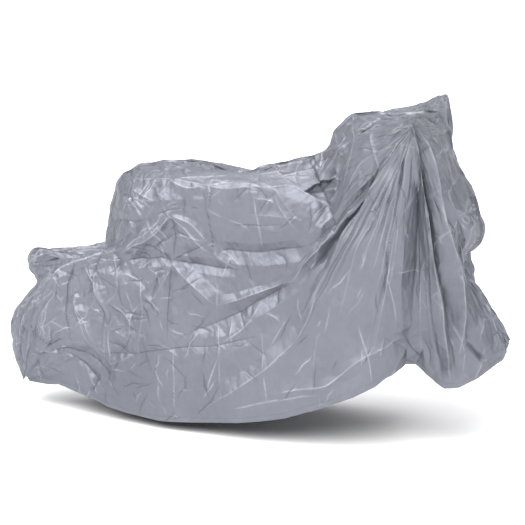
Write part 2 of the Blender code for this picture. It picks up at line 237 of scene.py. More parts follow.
# One rib per row, from the tail to the nose, with heights above the floor.
# crown = (along, height) of the flange's top edge; the others are (along, out from the middle, height).
Rib = namedtuple("Rib", "crown edge side skirt hem left_edge", defaults=(None,))
RIBS = (
    # tail, with the rear hem
    Rib((-1.02, .085), (-1.005, .02, .1), (-.995, .035, .11), (-.985, .04, .11), (-.975, .045, .1)),
    Rib((-1.065, .225), (-.98, .06, .25), (-.935, .08, .225), (-.885, .085, .17), (-.855, .08, .1)),
    Rib((-1.055, .375), (-.935, .09, .425), (-.855, .12, .375), (-.785, .13, .255), (-.75, .12, .09)),
    Rib((-.945, .505), (-.84, .1, .56), (-.745, .15, .465), (-.665, .17, .305), (-.655, .15, .07)),
    # rear lobe
    Rib((-.98, .57), (-.79, .1, .6), (-.675, .16, .495), (-.585, .185, .315), (-.56, .17, .045)),
    Rib((-.94, .65), (-.725, .11, .64), (-.595, .17, .535), (-.49, .2, .325), (-.44, .2, .04)),
    Rib((-.77, .64), (-.65, .12, .655), (-.515, .18, .565), (-.39, .215, .335), (-.32, .23, .035)),
    Rib((-.65, .66), (-.56, .14, .69), (-.435, .185, .605), (-.305, .23, .355), (-.2, .25, .045)),
    # square hump
    Rib((-.63, .785), (-.505, .15, .75), (-.375, .19, .665), (-.23, .235, .365), (-.105, .265, .06)),
    Rib((-.585, .935), (-.46, .16, .895), (-.3, .19, .68), (-.15, .24, .38), (-.015, .275, .07)),
    Rib((-.505, 1.01), (-.365, .17, .96), (-.22, .2, .675), (-.06, .245, .395), (.075, .285, .085)),
    Rib((-.38, 1.035), (-.265, .18, .98), (-.14, .205, .67), (.025, .25, .415), (.155, .29, .1)),
    Rib((-.24, 1.04), (-.12, .185, .99), (-.025, .21, .69), (.11, .25, .435), (.225, .295, .125),
        left_edge=(-.12, .185, .975)),
    Rib((-.075, 1.0), (.025, .185, .995), (.08, .215, .705), (.19, .25, .455), (.285, .3, .15),
        left_edge=(.025, .185, .96)),
    # dip, where the top sags
    Rib((.05, 1.04), (.16, .18, .965), (.185, .22, .7), (.265, .25, .465), (.35, .3, .175)),
    Rib((.165, 1.065), (.265, .175, .92), (.29, .225, .7), (.34, .25, .475), (.41, .3, .2)),
    Rib((.25, 1.095), (.33, .175, .89), (.365, .23, .715), (.41, .25, .49), (.46, .295, .225)),
    # peak
    Rib((.31, 1.195), (.395, .18, 1.09), (.44, .235, .74), (.475, .245, .505), (.51, .285, .25)),
    Rib((.37, 1.24), (.45, .2, 1.175), (.5, .24, .77), (.53, .24, .52), (.55, .26, .28)),
    Rib((.44, 1.25), (.54, .245, 1.215), (.57, .245, .79), (.585, .23, .525), (.585, .225, .305)),
    Rib((.54, 1.24), (.61, .285, 1.24), (.63, .25, .8), (.625, .22, .525), (.61, .18, .32),
        left_edge=(.62, .285, 1.24)),
    Rib((.64, 1.262), (.65, .3, 1.255), (.68, .25, .805), (.67, .215, .525), (.64, .145, .32),
        left_edge=(.68, .3, 1.285)),
    Rib((.705, 1.25), (.68, .275, 1.225), (.725, .235, .795), (.715, .21, .51), (.685, .15, .295),
        left_edge=(.685, .285, 1.255)),
    # front slope
    Rib((.74, 1.175), (.715, .24, 1.145), (.76, .2, .77), (.76, .2, .49), (.73, .175, .255),
        left_edge=(.685, .265, 1.145)),
    Rib((.765, 1.08), (.75, .2, 1.035), (.78, .16, .74), (.795, .185, .48), (.78, .195, .245),
        left_edge=(.7, .225, 1.03)),
    Rib((.835, .96), (.795, .17, .94), (.795, .125, .715), (.835, .165, .47), (.825, .195, .255)),
    Rib((.88, .815), (.835, .13, .835), (.79, .08, .69), (.87, .14, .46), (.865, .18, .275)),
    Rib((.85, .745), (.82, .07, .745), (.805, .065, .655), (.9, .11, .445), (.9, .15, .295)),
    # nose, with the front hem
    Rib((.77, .69), (.785, .03, .69), (.84, .042, .59), (.92, .08, .43), (.93, .12, .315)),
    Rib((.84, .6), (.855, .03, .585), (.895, .035, .51), (.945, .055, .415), (.95, .08, .325)),
    Rib((.935, .49), (.94, .02, .48), (.955, .025, .435), (.97, .04, .385), (.965, .05, .33)),
    Rib((.985, .405), (.985, .015, .395), (.98, .02, .375), (.975, .025, .355), (.97, .03, .335)),
)

# A crease or fold. run = points of the crest or valley; left and right = from the crest to where the fold
# ends, to the left and right of the run; rise = height of the crest above the film (below it for a valley);
# up and down = shares of the run over which the fold comes up and dies out; start = share of the width at the
# first point; lean = how far the crest leans to the left over its flank; sharp = how far the film is bent to
# a crease along the crest.
Fold = namedtuple("Fold", "run left right rise up down start lean sharp", defaults=(0.2, 0.2, 1.0, 0.0, 1.0))

# The right side's folds, seen from the side: the points of a run are (along, height).
RIGHT_FOLDS = (
    # fan from the right tip of the peak
    (((.645, 1.235), (.59, 1.155), (.535, 1.07), (.46, .9), (.395, .8), (.36, .71), (.295, .59), (.245, .46)),
     .05, .035, .022, .1, .3, .25, -.016),
    (((.335, .69), (.245, .46), (.09, .285), (-.175, .095)), .07, .045, .012, .25, .15, .6),
    (((.645, 1.23), (.55, 1.095), (.5, 1.02), (.395, .855), (.305, .74), (.205, .62)),
     .022, .022, -.02, .1, .2, .3, .01),
    (((.535, 1.07), (.46, .97), (.355, .83), (.22, .675), (.175, .605)), .02, .018, .012, .15, .2, .4),
    (((.53, 1.075), (.385, .915), (.295, .79), (.25, .765)), .022, .02, -.014, .2, .2, .4),
    (((.64, 1.21), (.615, 1.12), (.575, 1.025), (.51, .905), (.45, .79), (.405, .63), (.365, .46)),
     .045, .04, .01, .15, .4, .25),
    (((.645, 1.195), (.61, 1.085), (.58, .985)), .014, .012, .006, .2, .3, .4),
    (((.655, 1.22), (.63, 1.1), (.6, .955), (.565, .795), (.555, .675)), .05, .035, .013, .15, .2, .25),
    (((.66, 1.2), (.66, 1.06), (.655, .92), (.648, .76), (.64, .62), (.645, .46)),
     .12, .032, -.046, .15, .3, .2, .006),
    (((.545, .72), (.555, .675), (.58, .58), (.6, .475), (.62, .42)), .07, .03, .018, .2, .2, .7),
    (((.65, 1.235), (.66, 1.165), (.665, 1.05), (.685, .92), (.7, .785), (.725, .65), (.75, .5), (.78, .32),
     (.79, .26)), .026, .03, .03, .08, .1, .25, .012),
    (((.655, 1.225), (.68, 1.105), (.71, .975), (.735, .825), (.765, .665), (.79, .48), (.8, .4)),
     .034, .034, -.028, .1, .2, .25, -.008),
    (((.655, 1.245), (.695, 1.135), (.73, .97), (.765, .8), (.79, .69), (.81, .58), (.825, .475),
     (.815, .375)), .028, .028, .026, .08, .15, .25, .01),
    (((.745, .615), (.765, .505), (.805, .39)), .022, .02, .009, .3, .2, .5),
    # swag below the hump
    (((.21, .63), (.08, .545), (-.1, .44), (-.205, .4), (-.3, .345)), .045, .065, -.017, .1, .35, .7, -.012),
    (((.195, .63), (.03, .56), (-.11, .51)), .04, .03, .012, .25, .25, .6),
    (((.105, .72), (.165, .7), (.16, .65)), .03, .03, -.006, .3, .3, .6),
    (((.08, .535), (-.005, .43), (-.09, .37)), .04, .035, .007, .25, .25, .8),
    # the hump and its side
    (((-.165, .975), (-.055, .99), (.025, .99), (.115, .96)), .05, .06, .01, .15),
    (((-.17, .96), (-.145, .87), (-.135, .705)), .025, .03, -.009, .15, .1),
    (((.025, .995), (.055, .85), (.075, .73)), .025, .03, .009, .15, .1),
    (((-.05, .83), (.055, .835), (.155, .845)), .025, .025, -.005),
    (((-.15, .885), (-.075, .855)), .02, .02, .004, .3, .3),
    (((-.13, .715), (.075, .72), (.21, .745), (.255, .77)), .045, .035, -.016, .15, .15, 1, .015),
    (((.115, .955), (.15, .895), (.185, .845), (.215, .815)), .03, .035, .005, .25, .25),
    (((.045, .985), (.075, .96), (.1, .93)), .02, .02, -.005, .3, .3),
    (((.004, 1.066), (.031, 1.041), (.116, .999), (.212, .95), (.327, .884)),
     .012, .075, .016, .12, .12, 1, .012),
    (((.215, .958), (.253, .983), (.298, .996), (.362, 1.029)), .05, .009, .014, .2, .15, 1, -.008, 1.6),
    (((.158, 1.068), (.177, 1.004), (.193, .975)), .012, .012, .004, .3, .3),
    (((.355, 1.198), (.351, 1.139), (.295, 1.069), (.254, 1)), .03, .012, .008, .2, .2, 1, -.005),
    (((.199, 1.047), (.294, 1.096), (.351, 1.132)), .014, .02, .006, .3),
    (((.229, .938), (.293, .952), (.354, .974)), .012, .012, .004, .3, .3),
    (((.25, .915), (.265, .86), (.255, .805)), .03, .03, -.003),
    # rear corner of the hump
    (((-.345, .955), (-.315, .875), (-.24, .795), (-.17, .725), (-.135, .705)), .05, .06, .012, .2, .15),
    (((-.32, .865), (-.41, .775), (-.51, .685)), .045, .04, .012, .15),
    (((-.485, .945), (-.4, .92), (-.335, .9)), .035, .03, .01),
    (((-.58, .785), (-.475, .815), (-.395, .84)), .03, .025, -.008),
    (((-.505, .925), (-.45, .88), (-.41, .825)), .025, .025, .007),
    (((-.42, .745), (-.36, .715), (-.3, .68)), .025, .02, -.006),
    (((-.315, .985), (-.235, .965), (-.17, .97)), .03, .03, .01, .25),
    (((-.488, .995), (-.449, .907), (-.405, .862)), .014, .016, .006, .2, .3),
    (((-.405, .862), (-.457, .887), (-.489, .937)), .01, .01, -.004, .3, .3),
    (((-.532, .967), (-.542, .868), (-.561, .748)), .01, .012, -.007, .2, .2, 1, 0, 1.2),
    (((-.364, .961), (-.317, .89), (-.293, .852)), .016, .014, .008, .2, .3),
    (((-.293, .852), (-.383, .769), (-.507, .684)), .02, .018, .009, .1, .2, .5),
    (((-.29, .854), (-.218, .819), (-.147, .745)), .018, .02, .007, .1, .2, .5),
    (((-.29, .854), (-.283, .757), (-.292, .686)), .016, .018, -.006, .1, .2, .5),
    (((-.32, 1.03), (-.245, 1.015), (-.225, 1.03)), .02, .02, -.005, .3, .3),
    (((-.855, .54), (-.93, .445), (-.99, .355), (-.985, .26)), .02, .03, .008),
    (((-.96, .22), (-.9, .23), (-.845, .25)), .018, .018, -.003, .3, .3),
    (((-.921, .486), (-.967, .428), (-1.004, .363), (-1.021, .289), (-1.014, .217), (-.986, .134)),
     .014, .018, -.01, .1, .2, 1, 0, 1.8),
    (((-.915, .65), (-.939, .603), (-.944, .578)), .012, .012, .006, .3, .3),
    (((-.909, .601), (-.838, .634), (-.769, .662), (-.692, .675)), .045, .012, -.016, .2, .2, 1, 0, 1.4),
    (((-.724, .635), (-.752, .54), (-.755, .437), (-.743, .294)), .018, .022, -.01, .15, .3, .6, 0, 1.4),
    (((-.723, .524), (-.692, .423), (-.653, .324), (-.624, .276)), .02, .018, .008, .2, .2, .5),
    (((-.665, .656), (-.637, .59), (-.606, .511), (-.573, .46), (-.58, .37), (-.586, .267)),
     .018, .018, .008, .15, .2, .7),
    (((-.978, .363), (-.918, .451), (-.851, .518)), .014, .014, .006, .3, .3, .7),
    (((-.834, .507), (-.859, .402), (-.876, .276)), .03, .02, .008, .3, .3, .6),
    (((-.947, .253), (-.86, .242), (-.803, .263)), .014, .014, .005, .3, .3),
    (((-.791, .272), (-.719, .244), (-.648, .192), (-.594, .113)), .025, .016, -.01),
    # gathered point at the hump's lower corner
    (((-.295, .68), (-.21, .72), (-.15, .755)), .03, .025, -.008, .15, .3, .4),
    (((-.295, .68), (-.38, .685), (-.5, .655)), .035, .03, -.014, .1, .2, .6),
    (((-.295, .67), (-.205, .59), (-.11, .51)), .045, .04, .014, .2, .15, .3),
    (((-.295, .67), (-.305, .585), (-.31, .46), (-.305, .335)), .025, .025, -.008, .1, .4, .4),
    (((-.295, .68), (-.195, .665), (-.11, .655), (-.01, .66)), .03, .03, -.012, .1, .3, .5),
    (((-.29, .665), (-.355, .555), (-.405, .475)), .035, .03, .009, .2, .3, .4),
    (((-.15, .755), (-.12, .7), (-.025, .655)), .025, .025, .006, .3, .3),
    # rear lobe and tail
    (((-.905, .515), (-.805, .58), (-.735, .63), (-.655, .65), (-.55, .69)), .035, .045, .014, .15),
    (((-.55, .69), (-.52, .655), (-.555, .6)), .03, .03, -.01),
    (((-.675, .635), (-.61, .535), (-.56, .455)), .03, .035, .011),
    (((-.74, .525), (-.665, .4), (-.605, .27)), .03, .03, .01, .2, .2, .6),
    (((-.56, .48), (-.56, .36), (-.565, .23)), .025, .025, .008, .15),
    (((-.55, .485), (-.49, .45), (-.445, .4)), .022, .022, .008, .2, .3),
    (((-.43, .61), (-.41, .48), (-.425, .335), (-.43, .205)), .022, .025, .007, .15, .3),
    (((-.405, .52), (-.46, .44), (-.47, .35)), .02, .02, .005, .3, .3),
    (((-.605, .275), (-.415, .305), (-.29, .335), (-.1, .365), (.075, .42)), .028, .025, -.007, .1, .1),
    (((-.845, .25), (-.785, .28), (-.7, .275), (-.62, .24), (-.58, .195), (-.61, .12)),
     .035, .03, -.014, .15),
    (((-.68, .215), (-.65, .165), (-.625, .09)), .014, .014, .008, .3),
    (((-.625, .2), (-.635, .14), (-.67, .095)), .012, .012, -.008, .3),
    (((-.85, .47), (-.875, .38), (-.845, .285)), .03, .03, .007, .4, .4),
    (((-.585, .23), (-.52, .255), (-.455, .295)), .022, .022, .006, .3, .3),
    # lower film, with the lines along which it was folded flat
    (((-.11, .595), (-.1, .44), (-.095, .35), (-.085, .205)), .022, .025, .0035, .1),
    (((.08, .43), (.085, .37), (.09, .285)), .022, .022, .003),
    (((-.285, .355), (-.275, .235), (-.27, .08)), .022, .022, .003, .15, .15),
    (((-.085, .215), (-.125, .14), (-.185, .075)), .025, .022, -.0045, .25, .15),
    (((.095, .275), (.105, .2), (.11, .15)), .018, .018, .0015, .3, .3),
    (((.115, .195), (.245, .225), (.33, .245), (.43, .33), (.53, .4)), .028, .03, .0035, .15, .15),
    (((-.07, .11), (.09, .155), (.2, .185), (.325, .215)), .02, .02, .0015),
    (((.45, .485), (.475, .415), (.495, .355), (.51, .275)), .022, .024, .0035, .2, .15),
    (((.49, .37), (.535, .395), (.57, .415), (.615, .45)), .022, .022, .003, .3),
    (((.11, .375), (.145, .44), (.185, .495)), .012, .012, .003, .3, .3),
    (((.145, .41), (.17, .455), (.195, .515)), .01, .01, -.002, .3, .3),
    (((.215, .58), (.22, .525), (.245, .465)), .014, .012, .003, .3, .3),
    (((-.085, .36), (-.115, .265), (-.145, .17)), .03, .03, .002, .3, .3),
    # front slope and plateau
    (((.7, 1.125), (.72, 1.145), (.735, 1.16)), .016, .016, .005),
    (((.74, .99), (.765, 1.015), (.78, 1.035)), .016, .016, .005),
    (((.765, .92), (.75, .815), (.74, .735), (.735, .69)), .018, .018, .005, .3, .3),
    (((.55, .79), (.55, .735), (.555, .67)), .012, .014, -.004, .3, .1),
    (((.59, .69), (.635, .69), (.67, .68)), .018, .018, .003, .3, .3),
    (((.469, 1.211), (.485, 1.157), (.511, 1.103), (.542, 1.057)), .01, .012, .003, .15),
    (((.411, 1.189), (.452, 1.22), (.481, 1.243), (.517, 1.269)), .009, .009, -.008, .1, .1, 1, 0, 2),
    (((.538, 1.274), (.582, 1.268), (.622, 1.258)), .008, .008, -.007, .15, .15, 1, 0, 1.8),
    (((.647, 1.245), (.575, 1.214), (.507, 1.182)), .016, .016, .005, .1, .4, .4),
    (((.647, 1.241), (.572, 1.177), (.515, 1.117)), .014, .014, .004, .1, .4, .4),
    (((.855, .86), (.845, .815), (.825, .775), (.79, .735)), .018, .016, .008),
    (((.83, .96), (.815, .93), (.795, .89), (.775, .81)), .022, .025, .007),
    (((.825, .92), (.855, .88), (.87, .855)), .014, .014, -.006),
    (((.81, .9), (.83, .875), (.85, .855)), .016, .016, .005, .3, .3),
    # front hem and nose
    (((.62, .44), (.645, .385), (.68, .33)), .025, .022, -.007, .2, .3, .6),
    (((.68, .44), (.705, .385), (.705, .31)), .02, .02, -.005, .3, .3),
    (((.795, .7), (.82, .605), (.835, .505)), .016, .018, .006, .2, .3, .6),
    (((.85, .43), (.88, .385), (.915, .345)), .014, .016, -.012),
    (((.905, .53), (.895, .475), (.89, .405)), .025, .025, .008, .3, .3),
    (((.945, .475), (.935, .42), (.93, .37)), .018, .018, -.006, .3, .3),
    (((.86, .55), (.885, .515), (.895, .485)), .018, .018, -.006, .3, .3),
    (((.835, .47), (.82, .415), (.82, .375)), .018, .02, .006, .3, .3),
    (((.375, 1.225), (.405, 1.16), (.38, 1.03), (.365, .955)), .03, .03, .008, .2, .3),
)

# The same on the left side, which the camera doesn't see.
LEFT_FOLDS = (
    # fan from the left tip of the peak
    (((.665, 1.26), (.6, 1.13), (.51, .96), (.41, .77), (.3, .56), (.19, .37)), .04, .05, .02, .08, .3, .25),
    (((.66, 1.255), (.56, 1.09), (.44, .9), (.32, .74), (.22, .63)), .03, .03, -.02, .1, .2, .3),
    (((.655, 1.245), (.55, 1.1), (.41, .95), (.3, .84)), .022, .024, .012, .15, .25, .4),
    (((.665, 1.235), (.62, 1.06), (.56, .87), (.49, .66), (.42, .48)), .045, .04, .012, .1, .35, .25),
    (((.67, 1.23), (.655, 1.09), (.63, .92), (.59, .74), (.57, .62)), .034, .038, -.015, .12, .25, .25),
    (((.675, 1.25), (.68, 1.07), (.7, .86), (.72, .64), (.76, .42), (.775, .3)),
     .03, .034, .021, .08, .12, .25),
    (((.68, 1.24), (.705, 1.06), (.735, .87), (.765, .68), (.8, .5)), .032, .032, -.018, .1, .2, .25),
    (((.685, 1.245), (.725, 1.05), (.765, .86), (.795, .7), (.825, .55), (.835, .42)),
     .03, .028, .016, .1, .2, .25),
    (((.6, 1.2), (.5, 1.14), (.42, 1.11)), .02, .024, .007, .2, .3, .5),
    (((.22, .37), (.08, .24), (-.08, .15)), .06, .05, .011, .25, .2, .6),
    # swags below the hump
    (((.17, .62), (.03, .54), (-.14, .49), (-.31, .5), (-.43, .545)), .045, .05, -.016, .15, .3, .7),
    (((.16, .655), (0, .585), (-.16, .555), (-.3, .575)), .035, .032, .012, .2, .3, .7),
    (((.12, .5), (-.05, .43), (-.22, .41), (-.4, .45)), .04, .045, -.012, .2, .25, .8),
    (((.06, .46), (-.06, .36), (-.2, .32)), .035, .035, .008, .25, .3, .8),
    # gathered point under the hump's rear corner
    (((-.36, .69), (-.47, .68), (-.56, .655)), .03, .03, -.012, .15, .2, .5),
    (((-.36, .68), (-.29, .58), (-.24, .46), (-.22, .33)), .035, .04, .012, .2, .3, .35),
    (((-.36, .69), (-.24, .68), (-.12, .685)), .03, .028, -.01, .15, .3, .4),
    (((-.36, .68), (-.4, .57), (-.41, .44)), .028, .03, .009, .15, .3, .4),
    (((-.36, .7), (-.29, .77), (-.22, .83)), .028, .03, -.008, .15, .3, .5),
    # the hump and its side
    (((-.42, .945), (-.26, .965), (-.08, .97), (.1, .95)), .05, .06, .011, .15),
    (((0, 1), (.14, .97), (.25, .915), (.31, .885)), .04, .055, .014),
    (((-.12, .975), (-.1, .86), (-.085, .73)), .024, .026, .008, .15, .15),
    (((.07, .95), (.09, .85), (.1, .74)), .022, .026, -.008, .15, .15),
    (((-.27, .955), (-.26, .85), (-.235, .74)), .024, .022, -.007),
    (((-.3, .84), (-.16, .85), (-.02, .835), (.14, .84)), .024, .024, .005),
    (((-.44, .66), (-.28, .7), (-.1, .705), (.08, .72), (.22, .765)), .04, .035, -.013, .15, .15),
    (((-.5, .9), (-.4, .83), (-.3, .74)), .04, .04, .01, .2, .25),
    (((-.54, .78), (-.46, .8), (-.38, .85)), .028, .025, -.008),
    (((.16, .93), (.2, .86), (.22, .79)), .028, .03, .008),
    # rear lobe and tail
    (((-.9, .52), (-.8, .58), (-.7, .635), (-.56, .68)), .036, .042, .013, .15),
    (((-.7, .62), (-.63, .5), (-.57, .38)), .03, .034, .011, .2, .25),
    (((-.77, .58), (-.77, .45), (-.73, .3)), .028, .03, -.009, .15, .3),
    (((-.81, .53), (-.86, .42), (-.87, .3)), .026, .03, .008, .25, .3),
    (((-.62, .57), (-.58, .47), (-.5, .4)), .022, .024, -.007, .2, .3),
    (((-.5, .6), (-.5, .47), (-.52, .33)), .024, .024, .008, .2, .3),
    (((-.84, .25), (-.76, .27), (-.66, .24), (-.58, .18)), .03, .03, -.011),
    (((-.95, .24), (-.87, .21), (-.8, .16)), .02, .022, .006, .25, .3),
    (((-.62, .22), (-.58, .14), (-.53, .08)), .02, .02, .007, .3),
    # lower film, with the lines along which it was folded flat
    (((-.6, .29), (-.43, .31), (-.24, .325), (-.05, .35), (.13, .39)), .026, .026, -.006, .1, .1),
    (((.13, .4), (.27, .44), (.41, .5)), .024, .024, .006),
    (((-.44, .42), (-.44, .3), (-.45, .17)), .022, .022, .006),
    (((-.26, .3), (-.26, .2), (-.27, .08)), .022, .024, -.006),
    (((-.07, .58), (-.075, .42), (-.08, .27)), .022, .022, .006, .15),
    (((-.08, .26), (-.085, .17), (-.1, .09)), .02, .022, -.005, .3),
    (((.12, .56), (.12, .42), (.13, .28)), .022, .022, .006, .15),
    (((.14, .27), (.15, .2), (.16, .14)), .018, .02, -.004, .3, .3),
    (((.31, .6), (.32, .46), (.34, .32)), .022, .022, -.006),
    (((.1, .2), (.24, .23), (.36, .28), (.46, .36)), .028, .03, .008),
    (((-.2, .1), (-.06, .13), (.1, .17)), .022, .022, .005),
    (((.48, .46), (.5, .38), (.52, .29)), .022, .024, -.006),
    (((.5, .35), (.57, .4), (.62, .45)), .022, .022, .006, .3),
    (((.22, .52), (.25, .46), (.26, .4)), .014, .014, .006, .3, .3),
    (((.38, .7), (.47, .72), (.55, .71)), .02, .02, .004, .3, .3),
    # front slope and plateau
    (((.42, 1.18), (.46, 1.1), (.47, 1), (.44, .9)), .024, .026, .008, .2, .3),
    (((.36, 1.17), (.39, 1.08), (.38, .98)), .024, .024, -.008, .25, .25),
    (((.34, 1.09), (.4, 1.06), (.47, 1.07)), .02, .02, .005, .3, .3),
    (((.74, .98), (.78, .93), (.81, .86)), .02, .022, .007, .25, .3),
    (((.79, .92), (.83, .88), (.85, .83)), .018, .016, -.006, .3, .3),
    (((.8, .81), (.825, .78), (.84, .75)), .016, .016, .006, .3, .3),
    # front hem and nose
    (((.62, .44), (.65, .38), (.69, .32)), .024, .022, -.007, .2, .3, .7),
    (((.8, .68), (.83, .59), (.85, .49)), .016, .018, .006, .2, .3, .7),
    (((.86, .45), (.89, .4), (.92, .35)), .016, .016, -.009, .25, .25),
    (((.9, .53), (.9, .46), (.89, .39)), .022, .022, .007, .3, .3),
    (((.94, .47), (.935, .41), (.93, .36)), .016, .018, -.005, .3, .3),
)

# The same for the top's folds, seen from above: points are (along, out from the middle).
RIGHT_TOP_FOLDS = (
    # peak
    (((.42, .16), (.455, .175), (.485, .16), (.5, .07)), .014, .014, -.01),
    (((.52, .135), (.55, .14), (.61, .245)), .012, .012, -.007),
    (((.64, .285), (.66, .215), (.685, .155), (.71, .095)), .012, .014, -.014, .2, .2, 1, 0, 1.8),
    (((.335, .05), (.36, .11), (.34, .1)), .016, .016, -.006, .3, .3),
    # dip
    (((.22, .18), (.25, .13), (.305, .11), (.36, .16)), .018, .022, -.012),
    (((.22, .18), (.275, .15), (.35, .165)), .014, .016, .008, .2, .3),
    (((.185, .06), (.25, .04), (.33, .1)), .018, .018, -.006, .2, .3),
    (((.325, .1), (.3, .09), (.25, .09)), .02, .02, .006, .3, .3),
    # hump
    (((-.38, .03), (-.3, .08), (-.22, .14)), .03, .03, .006, .2, .3),
    (((-.2, .03), (-.12, .07), (-.03, .06), (.06, .11)), .03, .026, -.006, .2, .3),
)
LEFT_TOP_FOLDS = (
    # peak
    (((.67, .27), (.66, .18), (.62, .1), (.6, .04)), .02, .022, -.01, .2, .3, .5),
    (((.66, .28), (.58, .22), (.5, .17), (.42, .1)), .024, .022, .009, .2, .3, .4),
    (((.45, .15), (.46, .09), (.44, .03)), .018, .018, -.006, .2, .3),
    # dip
    (((.33, .14), (.24, .12), (.15, .14), (.07, .12)), .028, .028, -.009, .2, .3),
    (((.3, .05), (.22, .07), (.15, .04)), .022, .022, .006, .2, .3),
    # hump
    (((-.36, .04), (-.26, .1), (-.15, .12)), .03, .03, .007, .2, .3),
    (((-.12, .04), (-.03, .09), (.06, .07)), .026, .028, -.006, .2, .3),
    # rear lobe
    (((-.85, .03), (-.76, .06), (-.67, .07)), .022, .022, .005, .3, .3),
)


# ---------------------------------------------------------------- the smooth film
def smooth_through(knots, values, at):
    """The curve that passes through values at the knots, read at the places in at."""
    knots = np.asarray(knots, dtype=float)
    slopes = np.gradient(values, knots, axis=0) * SLACK
    left = np.clip(np.searchsorted(knots, at, side="right") - 1, 0, len(knots) - 2)
    gap = knots[left + 1] - knots[left]
    share = (at - knots[left]) / gap
    column = (-1,) + (1,) * (values.ndim - 1)
    gap = gap.reshape(column)
    share = share.reshape(column)
    rest = 1.0 - share
    start = (1.0 + 2.0 * share) * rest ** 2 * values[left] + share * rest ** 2 * gap * slopes[left]
    end = share ** 2 * (3.0 - 2.0 * share) * values[left + 1] - share ** 2 * rest * gap * slopes[left + 1]
    return start + end


def unit(vectors):
    return vectors / np.linalg.norm(vectors, axis=-1, keepdims=True)


def reached_along(points):
    """How far along a line each of its points lies."""
    return np.concatenate([[0.0], np.cumsum(np.linalg.norm(np.diff(points, axis=0), axis=1))])


def film_crowns():
    """The ribs' crowns brought in from the flange's top edge to the film below it."""
    edge = np.array([rib.crown for rib in RIBS])
    slopes = np.gradient(edge, axis=0)
    outwards = unit(np.stack([-slopes[:, 1], slopes[:, 0]], axis=1))
    return edge - outwards * SEAM_HEIGHT


def rib_points(rib, crown, side):
    """A rib's five points from the crown down to the hem, on one side."""
    edge = rib.left_edge if side == SIDE_LEFT and rib.left_edge else rib.edge
    points = [(crown[0], 0.0, crown[1])]
    points += [(along, side * out, height) for along, out, height in (edge, rib.side, rib.skirt, rib.hem)]
    return points


def draped_surface():
    """The smooth film: grid[section, step] from the right hem over the top to the left hem."""
    crowns = film_crowns()
    right = np.array([rib_points(rib, crown, SIDE_RIGHT) for rib, crown in zip(RIBS, crowns)])
    left = np.array([rib_points(rib, crown, SIDE_LEFT) for rib, crown in zip(RIBS, crowns)])
    net = np.concatenate([right[:, ::-1], left[:, 1:]], axis=1)
    knots = np.array(RIB_KNOTS)
    across_knots = np.concatenate([-knots[::-1], knots[1:]])
    across = np.linspace(-1.0, 1.0, 2 * STEPS_TO_HEM + 1)
    sections = smooth_through(across_knots, np.moveaxis(net, 1, 0), across)
    along = np.linspace(0.0, len(RIBS) - 1.0, (len(RIBS) - 1) * STEPS_BETWEEN_RIBS + 1)
    return smooth_through(np.arange(len(RIBS)), np.moveaxis(sections, 1, 0), along)


def bend_crown(grid, chance):
    """Moves the film along its crown up and down a little, in straight pieces."""
    reached = reached_along(grid[:, STEPS_TO_HEM])
    bends = chance.uniform(-CROWN_BEND, CROWN_BEND, int(reached[-1] / CROWN_STEP) + 2)
    places = np.arange(len(bends)) + chance.uniform(-SCATTER, SCATTER, len(bends))
    move = np.interp(reached / CROWN_STEP, places, bends)
    fade = np.clip(1.0 - np.abs(np.linspace(-1.0, 1.0, grid.shape[1])) / CROWN_REACH, 0.0, 1.0)
    grid += outward(grid) * (move[:, None] * fade)[..., None]


def outward(grid):
    """Unit normals that point out of the cover; along the crown they lie in the middle plane."""
    normals = np.cross(np.gradient(grid, axis=0), np.gradient(grid, axis=1))
    normals[:, STEPS_TO_HEM, 1] = 0.0
    return unit(normals)


# One side of the smooth film, as grids from the crown down to the hem: places, outward normals, how the place
# changes from one section to the next and from one step to the next, and the numbers of the last ones.
Panel = namedtuple("Panel", "smooth normals by_section by_step last")


def panel_of(grid, normals, side):
    half = slice(STEPS_TO_HEM, None, int(side))
    smooth = grid[:, half]
    last = np.array(smooth.shape[:2]) - 1.0
    return Panel(smooth, normals[:, half], np.gradient(smooth, axis=0), np.gradient(smooth, axis=1), last)


def cell_areas(panel):
    return np.linalg.norm(np.cross(panel.by_section, panel.by_step), axis=-1)


def read_at(values, places):
    """A grid's values at places (section, step) that may lie between its points."""
    low = np.clip(np.floor(places).astype(int), 0, np.array(values.shape[:2]) - 2)
    shares = (places - low).reshape((-1, 2) + (1,) * (values.ndim - 2))
    across, down = shares[:, 0], shares[:, 1]
    i, j = low.T
    upper = (1.0 - across) * values[i, j] + across * values[i + 1, j]
    lower = (1.0 - across) * values[i, j + 1] + across * values[i + 1, j + 1]
    return (1.0 - down) * upper + down * lower


def places_seen(panel, run, view):
    """The places on the film's grid that are seen at the points of a run, in a view."""
    right, up, nearer = view
    cells = panel.smooth[::MAP_STRIDE, ::MAP_STRIDE]
    flat = cells[..., (right, up)].reshape(-1, 1, 2)
    away = np.linalg.norm(flat - run, axis=-1)
    front = np.where(away < away.min(axis=0) + SAME_SPOT, np.abs(cells[..., nearer]).reshape(-1, 1), -1.0)
    found = np.argmax(front, axis=0)
    places = MAP_STRIDE * np.stack([found // cells.shape[1], found % cells.shape[1]], axis=1).astype(float)
    for _ in range(MAP_ROUNDS):
        miss = run - read_at(panel.smooth, places)[:, (right, up)]
        section = read_at(panel.by_section, places)[:, (right, up)]
        step = read_at(panel.by_step, places)[:, (right, up)]
        area = section[:, 0] * step[:, 1] - section[:, 1] * step[:, 0]
        area = np.where(np.abs(area) < TINY_AREA, np.inf, area)
        move = np.stack([miss[:, 0] * step[:, 1] - miss[:, 1] * step[:, 0],
                         section[:, 0] * miss[:, 1] - section[:, 1] * miss[:, 0]], axis=1) / area[:, None]
        places = np.clip(places + np.clip(move, -MAP_STRIDE, MAP_STRIDE), 0.0, panel.last)
    return places


